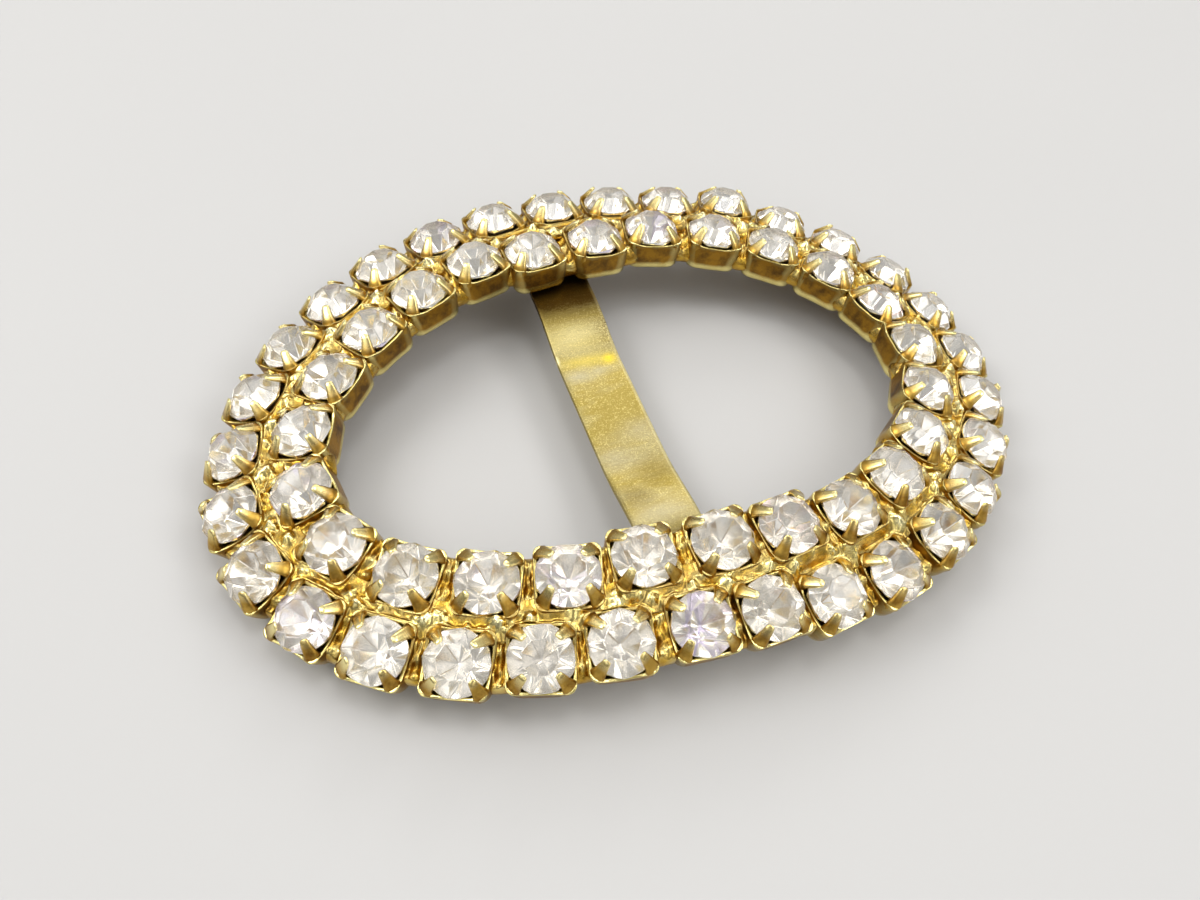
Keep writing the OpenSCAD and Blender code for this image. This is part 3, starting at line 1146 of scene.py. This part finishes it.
@dataclass
class SeamSolder(GiltPart):
    """The solder run in between the rows, which climbs the walls and stands up where corners meet."""

    walls: Walls
    meetings: Array
    inner_width: float = 1.45
    outer_width: float = 0.95
    base: float = -0.56
    climb: float = 0.2
    inside_drop: float = 1.1
    under: float = -1.75
    lumps: int = 900
    lump_size: Span = (0.12, 0.26)
    lump_rise: Span = (-0.14, 0.24)
    star_size: Span = (0.34, 0.56)
    star_rise: Span = (0.25, 0.6)
    lap: float = 0.1
    shine: float = 0.2
    top_shine: float = 1.1
    shine_rise: float = 0.5
    wall_shade: float = 0.25
    steps: int = 1100
    across: int = 37
    margin: int = 8
    seed: int = 53

    def drawn(self, draw: np.random.Generator, lump: Span, star: Span) -> Array:
        """A random value for each lump, then for each star."""
        return np.concatenate([draw.uniform(*lump, self.lumps), draw.uniform(*star, len(self.meetings))])

    def build(self) -> None:
        """Makes the seam as one closed band.

        Its top is a height over the level of the cups: a base, the climb at the walls, a star of solder
        where the corners of cups meet, and many small lumps. A lump is its rise times exp(-(distance to its
        middle / its size) squared), and fades out over the lap inside a wall.
        """
        draw = np.random.default_rng(self.seed)
        angle = 2 * np.pi * np.arange(self.steps) / self.steps
        inner = OVALS[Row.INNER].surface(angle, self.walls.half)
        outer = OVALS[Row.OUTER].surface(angle, -self.walls.half)
        side = np.pad(OVALS[Row.INNER].outward(angle), ((0, 0), (0, 1)))
        across = np.linspace(-self.inner_width, self.outer_width, self.across)
        top = ((inner + outer) / 2)[:, None, :] + across[None, :, None] * side[:, None, :]
        top[..., 2] = self.walls.survey(top)[1] + self.base
        near, level = self.walls.survey(top)
        change, close = self.walls.meniscus(near, self.climb, self.inside_drop)
        top[..., 2] = level + self.base + change
        step = draw.integers(0, self.steps, self.lumps)
        seats = top[step, draw.integers(self.margin, self.across - self.margin, self.lumps)]
        size = self.drawn(draw, self.lump_size, self.star_size)
        rise = self.drawn(draw, self.lump_rise, self.star_rise)
        outside = np.clip(1 + near / self.lap, 0, 1)
        for place, width, height in zip(np.concatenate([seats, self.meetings])[:, :2], size, rise):
            apart = np.linalg.norm(top[..., :2] - place, axis=-1)
            top[..., 2] += outside * height * np.exp(-((apart / width) ** 2))
        under = top[:, ::-1, :].copy()
        under[..., 2] = (level + self.under)[:, ::-1]
        loop = np.concatenate([top, under], axis=1)
        # Painted highlights on the lumps and stars as they rise, and painted shade where the solder meets a
        # wall.
        raised = np.clip((top[..., 2] - level - self.base) / self.shine_rise, 0, 1)
        wear_and_painted_light = self.shine + self.top_shine * raised - self.wall_shade * close
        marks = {WEAR_AND_PAINTED_LIGHT: np.concatenate([wear_and_painted_light, np.zeros_like(close)], axis=1).reshape(1, -1)}
        patches = [Patch(ring_quads(self.steps, loop.shape[1], closed=True))]
        self.keep("seam_solder", loop.reshape(1, -1, 3), patches, marks)


@dataclass(frozen=True)
class BarMark:
    """A soft-edged mark on the bar, by its middle and its half sizes in millimetres."""

    kind: Mark
    x: float
    y: float
    wide: float
    long: float
    strength: float

    def share(self, points: Array) -> Array:
        """Strength times exp(-((x / wide) squared + (y / long) squared)) about the mark's middle."""
        apart = ((points[:, 0] - self.x) / self.wide) ** 2 + ((points[:, 1] - self.y) / self.long) ** 2
        return self.strength * np.exp(-apart)


@dataclass
class SashBar(GiltPart):
    """The flat bar across the back, sagging in the middle and soldered up under the inner cups."""

    width: float = 4.9
    thick: float = 0.45
    length: float = 33.2
    place: float = -1.3
    drop: float = 2.62
    sag: float = 0.95
    level: float = 9.0
    end: float = 5.5
    edge: float = 0.07
    waver: float = 0.012
    waver_turn: float = 0.9
    waver_phase: float = 0.6
    along: int = 150
    across: int = 20
    marks: tuple[BarMark, ...] = (
        BarMark(Mark.STAIN, 0.9, 7.8, 0.8, 1.8, 1.0),
        BarMark(Mark.STAIN, -1.6, 9.6, 2.6, 0.6, 0.9),
        # Painted shadow of the far inner cups over the bar's far end.
        BarMark(Mark.BROWN, -1.3, 13.0, 6.0, 3.15, 2.5),
        BarMark(Mark.RUBBED_AND_HIGHLIT, -1.8, 7.4, 2.2, 1.2, 0.3),
        BarMark(Mark.YELLOW, -1.8, 7.6, 2.6, 1.6, 0.12),
        BarMark(Mark.YELLOW, 0.2, 5.0, 0.6, 0.45, 1.0),
        BarMark(Mark.YELLOW, -1.4, 5.2, 2.2, 0.5, 0.45),
        BarMark(Mark.GREY, -2.6, 3.8, 1.0, 0.5, 0.9),
        BarMark(Mark.GREY, -1.0, 4.0, 0.6, 0.3, 0.7),
        BarMark(Mark.GREY, 0.2, -2.0, 1.6, 0.9, 0.6),
        BarMark(Mark.GREY, -2.6, -4.2, 1.6, 1.1, 0.7),
        BarMark(Mark.BROWN, -0.1, -6.1, 1.7, 1.4, 0.72),
        BarMark(Mark.YELLOW, 0.0, -6.3, 1.6, 1.3, 0.1),
        BarMark(Mark.BROWN, -2.5, -7.7, 1.5, 1.1, 0.48),
        BarMark(Mark.GREY, -1.2, -9.6, 2.6, 0.9, 0.7),
        # Painted shade where the bar runs under the near inner cups.
        BarMark(Mark.BROWN, -1.3, -12.8, 4.0, 1.8, 1.0),
        # Painted highlight along the right edge.
        BarMark(Mark.RUBBED_AND_HIGHLIT, 1.13, 0.0, 0.08, 12.0, 1.0),
        # Painted highlight on a nick in the left edge.
        BarMark(Mark.RUBBED_AND_HIGHLIT, -3.7, 5.6, 0.12, 0.3, 1.0),
    )

    def build(self) -> None:
        """Makes the bar as one piece.

        Its height follows a smooth step between the level ends and the sagging middle, with a faint wave. Its
        section is a flat strip with rounded edges.
        """
        y = np.linspace(-self.length / 2, self.length / 2, self.along)
        knee = self.length / 2 - self.end
        share = np.clip((np.abs(y) - self.level / 2) / (knee - self.level / 2), 0, 1)
        fall = self.sag * (1 - share * share * (3 - 2 * share))
        half, side = self.width / 2, self.thick / 2
        height = -self.drop - side - fall + self.waver * np.sin(y * self.waver_turn + self.waver_phase)
        flat = np.linspace(-half + self.edge, half - self.edge, self.across)
        bend = np.radians([30.0, 60.0, 90.0, 120.0, 150.0])
        right = np.stack([half - self.edge + self.edge * np.sin(bend), side * np.cos(bend)], -1)
        section = np.concatenate([
            np.stack([flat, np.full(self.across, side)], -1),
            right,
            np.stack([flat[::-1], np.full(self.across, -side)], -1),
            -right,
        ])
        points = np.zeros((self.along, len(section), 3))
        points[..., 0] = self.place + section[:, 0]
        points[..., 1] = y[:, None]
        points[..., 2] = height[:, None] + section[:, 1]
        ends = np.array([[self.place, y[i], height[i]] for i in (0, -1)])
        whole = np.concatenate([points.reshape(-1, 3), ends])
        shares = {kind.value: np.zeros(len(whole)) for kind in Mark}
        for mark in self.marks:
            shares[mark.kind.value] = np.maximum(shares[mark.kind.value], mark.share(whole))
        patches = tube(self.along, len(section), smooth_ends=False)
        self.keep("sash_bar", (whole - ORIGIN)[None], patches, shares)


# Studio


@dataclass(frozen=True)
class SoftBox:
    """A square soft light, in metres and watts."""

    name: str
    place: Triple
    size: float
    power: float

    def build(self, target: Vector) -> None:
        """Makes the light.

        Args:
            target: The point that it is aimed at.
        """
        light = bpy.data.lights.new(self.name, "AREA")
        light.size = self.size
        light.energy = self.power
        lamp = bpy.data.objects.new(self.name, light)
        lamp.location = self.place
        lamp.rotation_euler = (target - lamp.location).to_track_quat("-Z", "Y").to_euler()
        bpy.context.scene.collection.objects.link(lamp)


@dataclass(frozen=True)
class Sky:
    """The soft light all round: pale above and on the horizon, dim between and where the viewer stands.

    Spans come in pairs: where a value starts and ends, and the strength that it goes from and to.
    """

    colour: Colour = (1.0, 0.99, 0.97)
    heights: Span = (0.08, 0.6)
    height_light: Span = (0.14, 0.92)
    viewer: Span = (0.84, 0.96)
    viewer_shade: Span = (1.0, 0.48)
    patch_scale: float = 3.2
    patches: Span = (0.55, 0.60)
    patch_light: Span = (0.70, 2.5)
    horizon: Span = (0.16, 0.02)
    horizon_light: Span = (0.0, 0.46)

    def build(self, towards_viewer: Array) -> None:
        """Makes the world.

        Args:
            towards_viewer: The fixed direction of the dim patch.
        """
        world = bpy.data.worlds.new("studio")
        world.use_nodes = True
        bpy.context.scene.world = world
        wiring = Wiring(world.node_tree)
        place = wiring.node("TexCoord").outputs["Generated"]
        up = wiring.node("SeparateXYZ", Vector=place).outputs["Z"]
        facing = wiring.pair(wiring.node("VectorMath", operation="DOT_PRODUCT"), 0, place, towards_viewer)
        noise = wiring.node("TexNoise", Vector=place, Scale=self.patch_scale, Detail=0.0).outputs["Fac"]
        light = wiring.scaled(wiring.ramp(up, self.heights), self.height_light)
        shade = wiring.scaled(wiring.ramp(facing.outputs["Value"], self.viewer), self.viewer_shade)
        flash = wiring.scaled(wiring.ramp(noise, self.patches), self.patch_light)
        haze = wiring.scaled(wiring.ramp(up, self.horizon), self.horizon_light)
        wiring.settle(
            world.node_tree.nodes["Background"],
            Color=self.colour,
            Strength=wiring.maths("MAXIMUM", wiring.times(wiring.times(light, shade), flash), haze),
        )


@dataclass(frozen=True)
class Studio:
    """A plain pale floor, soft lights and the camera, which stands as the photograph's did."""

    focal_pixels: float = 1067.29
    frame_pixels: float = 1200.0
    sensor_mm: float = 36.0
    camera_mm: Triple = (-24.4136, -43.6716, 57.6706)
    right: Triple = (0.93508, -0.34172, 0.09413)
    up: Triple = (0.22375, 0.77506, 0.59095)
    forward: Triple = (0.27490, 0.53152, -0.80120)
    floor_half_mm: float = 1500.0
    floor_tones: tuple[Colour, Colour] = ((0.51, 0.505, 0.498), (0.55, 0.545, 0.538))
    floor_cloud: Noise = Noise(9.0, 2.0)
    target: Triple = (0.0, 0.0, 0.004)
    lights: tuple[SoftBox, ...] = (
        SoftBox("key", (-0.24, 0.08, 0.28), 0.16, 0.46),
        SoftBox("fill", (0.22, -0.12, 0.28), 0.14, 0.26),
        SoftBox("front", (0.02, -0.02, 0.38), 0.10, 0.16),
        SoftBox("back", (0.16, 0.28, 0.22), 0.12, 0.20),
    )

    def floor(self) -> None:
        """Makes the floor: a wide flat sheet at the buckle's lowest point."""
        material, wiring, shader = new_material("floor_paper", Roughness=0.9)
        wiring.settle(shader, Base_Color=wiring.mixed(wiring.noise(self.floor_cloud), *self.floor_tones))
        corners = self.floor_half_mm * np.array([[-1, -1, 0], [1, -1, 0], [1, 1, 0], [-1, 1, 0]])
        sheet = Patch(np.array([[0, 1, 2, 3]]), smooth=False)
        make_piece("floor", corners[None], [sheet], [material])

    def camera(self) -> None:
        """Makes the camera at the photograph's place and angle."""
        data = bpy.data.cameras.new("camera")
        data.sensor_width = self.sensor_mm
        data.lens = self.focal_pixels * self.sensor_mm / self.frame_pixels
        data.clip_start = 0.005
        data.clip_end = 10.0
        camera = bpy.data.objects.new("camera", data)
        axes = np.stack([self.right, self.up, -np.array(self.forward)], -1)
        place = Matrix(axes.tolist()).to_4x4()
        place.translation = Vector((np.array(self.camera_mm) - ORIGIN) * MM)
        camera.matrix_world = place
        bpy.context.scene.collection.objects.link(camera)
        bpy.context.scene.camera = camera

    def build(self) -> None:
        """Makes the whole studio."""
        self.floor()
        Sky().build(-np.array(self.forward))
        self.camera()
        for light in self.lights:
            light.build(Vector(self.target))
        scene = bpy.context.scene
        scene.view_settings.view_transform = "Standard"
        scene.cycles.max_bounces = 24
        scene.cycles.glossy_bounces = 16
        scene.cycles.transmission_bounces = 16


def main() -> None:
    """Builds the buckle and the studio, piece by piece."""
    logging.basicConfig(level=logging.INFO, format="%(name)s %(message)s")
    gilt = {finish.kind: finish.build() for finish in GILTS}
    glass, foil = GlassFinish().build(), FoilFinish().build()
    poses = {row: oval.poses() for row, oval in OVALS.items()}
    walls = Walls(tuple(poses.values()))
    meetings = []
    for row in Row:
        StoneRow(row, poses[row], glass, foil).build()
        CupRow(gilt[Gilt.CUP], row, poses[row]).build()
        ProngRow(gilt[Gilt.PRONG], row, poses[row]).build()
        joints = RowSolder(gilt[Gilt.SOLDER], row, poses[row], walls)
        joints.build()
        meetings.append(joints.meetings())
    SeamSolder(gilt[Gilt.SOLDER], walls, np.concatenate(meetings)).build()
    SashBar(BarFinish().build()).build()
    Studio().build()


if __name__ == "__main__":
    main()
